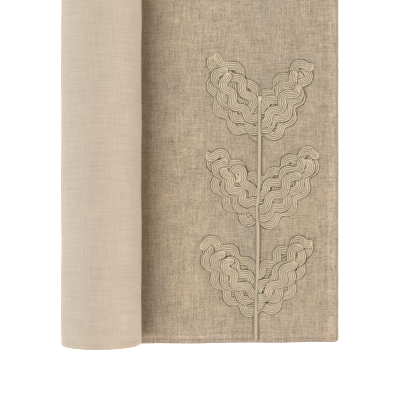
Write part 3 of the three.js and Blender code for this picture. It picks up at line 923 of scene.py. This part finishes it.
def lay_braid(side, root, bulge, crest, wave, path, cords):
    """Lays one braid over what is there, and adds its cords and edge threads to a piece's."""
    x, y = braid_plan(side, root, bulge, crest, wave, path)
    base = settle(heights.beneath(x, y, FEEL_REACH))
    heights.cover(x, y, base + BRAID_THICKNESS, CORD_REACH)
    clear = side * (x - stem_side(y)) > STEM_CLEARANCE
    lanes = [(k, 0.0, 1.0) for k in range(BRAID_CORDS)]
    lanes += [(0, -1.0, EDGING), (BRAID_CORDS - 1, 1.0, EDGING)]
    for k, beyond, girth in lanes:
        if clear[:, k].sum() < 3:
            continue
        first, last = np.flatnonzero(clear[:, k])[[0, -1]]
        part = slice(first, last + 1)
        inner = k - int(beyond)
        out = EDGING_OFFSET * abs(beyond)
        place = np.column_stack([x[part, k] + out * (x[part, k] - x[part, inner]),
                                 y[part, k] + out * (y[part, k] - y[part, inner]),
                                 base[part, k] + girth * CORD_HEIGHT / 2])
        cords["line"].append(place)
        cords["across"].append(np.full(len(place), (k + beyond * 0.5) / (BRAID_CORDS - 1)))
        cords["girth"].append(np.full(len(place), girth))


def along_rim(rim, shares):
    """Points at these shares of a rim's length."""
    places = np.linspace(0, 1, len(rim))
    return np.stack([np.interp(shares, places, rim[:, k]) for k in (0, 1)], axis=1)


def ground_rows(rows):
    """Rows that fill the leaf beneath the ones that show, between its two rims."""
    low_rim, high_rim = (smooth_line(rows[k][4], 1.0)[0] for k in (0, 1))
    for share, start, end in GROUND_ROWS:
        at = np.linspace(start, end, 9)
        low, high = along_rim(low_rim, at), along_rim(high_rim, at)
        yield low + (high - low) * share


def new_cords():
    """No cords yet: their lines, their places across the braid and their girths."""
    return {"line": [], "across": [], "girth": []}


heights = Heights()
BRAID = braid_finish()
for leaf, side, root, rows in LEAVES:
    ground = new_cords()
    for path in ground_rows(rows):
        lay_braid(side, root, GROUND_SWING, GROUND_CREST, GROUND_WAVE, path, ground)
    for name, bulge, crest, wave, path in rows:
        cords = ground if name == "heart" else new_cords()
        lay_braid(side, root, bulge, crest, wave, path, cords)
        line = line_mesh(leaf, cords["line"], across=cords["across"], girth=cords["girth"])
        piece = swept.run(f"{leaf}_{name}_braid", line, {
            "Width": CORD_WIDTH * MM, "Height": CORD_HEIGHT * MM, "Sides": 8, "Material": BRAID})
        trims.append(in_service(piece, [f"{leaf}_{name}"]))


# ---- the stem -----------------------------------------------------------------------------------
stem_height = surface_height(stem_plan[:, 0], stem_plan[:, 1]) + STEM_DIAMETER / 2
end_gap = np.minimum(stem_at, STEM_LENGTH - stem_at)
stem_girth = np.where(end_gap < 0.1, 0.86, 1.0)
stem_line = line_mesh("stem", [np.column_stack([stem_plan, stem_height])], girth=[stem_girth])
stem = swept.run("branch_stem", stem_line, {
    "Width": (STEM_DIAMETER + 0.3) * MM, "Height": STEM_DIAMETER * MM, "Sides": 16,
    "Material": stem_finish()})
trims.append(in_service(stem, ["stem_cord"]))


# ---- table, light and camera --------------------------------------------------------------------
# The table is a round pale sheet, and the backdrop curves up from its edge: reach and height of
# each level.
TABLE_REACH = 3300.0
TABLE_TOP = -0.1
BACKDROP = [(TABLE_REACH, TABLE_TOP), (3600, 30), (3820, 120), (3940, 300), (4000, 550), (4000, 900)]
TURN_STEPS = 96


def ring(reach, height):
    """Points in a circle about the middle of the table."""
    turn = 2 * math.pi * np.arange(TURN_STEPS) / TURN_STEPS
    level = np.full(TURN_STEPS, height)
    return np.column_stack([reach * np.cos(turn), reach * np.sin(turn), level])


floor_mesh = make_mesh("table", ring(TABLE_REACH, TABLE_TOP), [list(range(TURN_STEPS))])
floor = make_piece("table", floor_mesh, pale_finish("white table", 0.7))
around = np.arange(TURN_STEPS)
after = (around + 1) % TURN_STEPS
band = np.stack([around, after, after + TURN_STEPS, around + TURN_STEPS], axis=1)
wall_faces = np.concatenate([band + k * TURN_STEPS for k in range(len(BACKDROP) - 1)]).tolist()
wall_mesh = make_mesh("backdrop", np.concatenate([ring(*level) for level in BACKDROP]), wall_faces)
wall_mesh.flip_normals()
wall_mesh.shade_smooth()
backdrop = make_piece("backdrop", wall_mesh, pale_finish("pale backdrop", 0.45))


def soft_light(name, place, size, power, aim, tint):
    """A rectangular lamp that is aimed at a place."""
    light = bpy.data.lights.new(name, "AREA")
    light.shape = "RECTANGLE"
    light.size, light.size_y = size
    light.energy = power
    light.color = tint
    lamp = bpy.data.objects.new(name, light)
    bpy.context.scene.collection.objects.link(lamp)
    lamp.location = place
    away = np.array(place) - np.array(aim)
    flat = math.hypot(away[0], away[1])
    lamp.rotation_euler = (math.atan2(flat, away[2]), 0, math.atan2(away[0], -away[1]))
    return lamp


soft_light("overhead softbox", (-0.86, -0.02, 1.6), (1.3, 2.8), 61.5, (-0.86, -0.02, 0.0),
           (0.95, 0.995, 1.0))
soft_light("light from the right", (0.88, -0.42, 1.2), (0.16, 0.16), 8.9, (0.02, 0.0, 0.0),
           (1.0, 0.74, 0.54))
soft_light("low fill from the right", (1.7, -0.1, 0.2), (0.5, 0.3), 20.5, (0.0, 0.0, 0.03),
           (0.97, 0.98, 1.0))

world = bpy.data.worlds.new("pale room")
world.use_nodes = True
background = world.node_tree.nodes["Background"]
background.inputs["Color"].default_value = (1.0, 1.0, 1.0, 1.0)
background.inputs["Strength"].default_value = 0.03
bpy.context.scene.world = world
bpy.context.scene.view_settings.view_transform = "Standard"

camera_data = bpy.data.cameras.new("camera")
camera_data.lens = 90.0
camera_data.sensor_width = 36.0
camera = bpy.data.objects.new("camera", camera_data)
bpy.context.scene.collection.objects.link(camera)
camera.location = (-0.0032, -0.0365, 1.0)
bpy.context.scene.camera = camera


# ---- the two cloths in place of their CAD nodes -------------------------------------------------
in_service(linen, ["face_linen"])
in_service(lining, ["lining_cotton"])
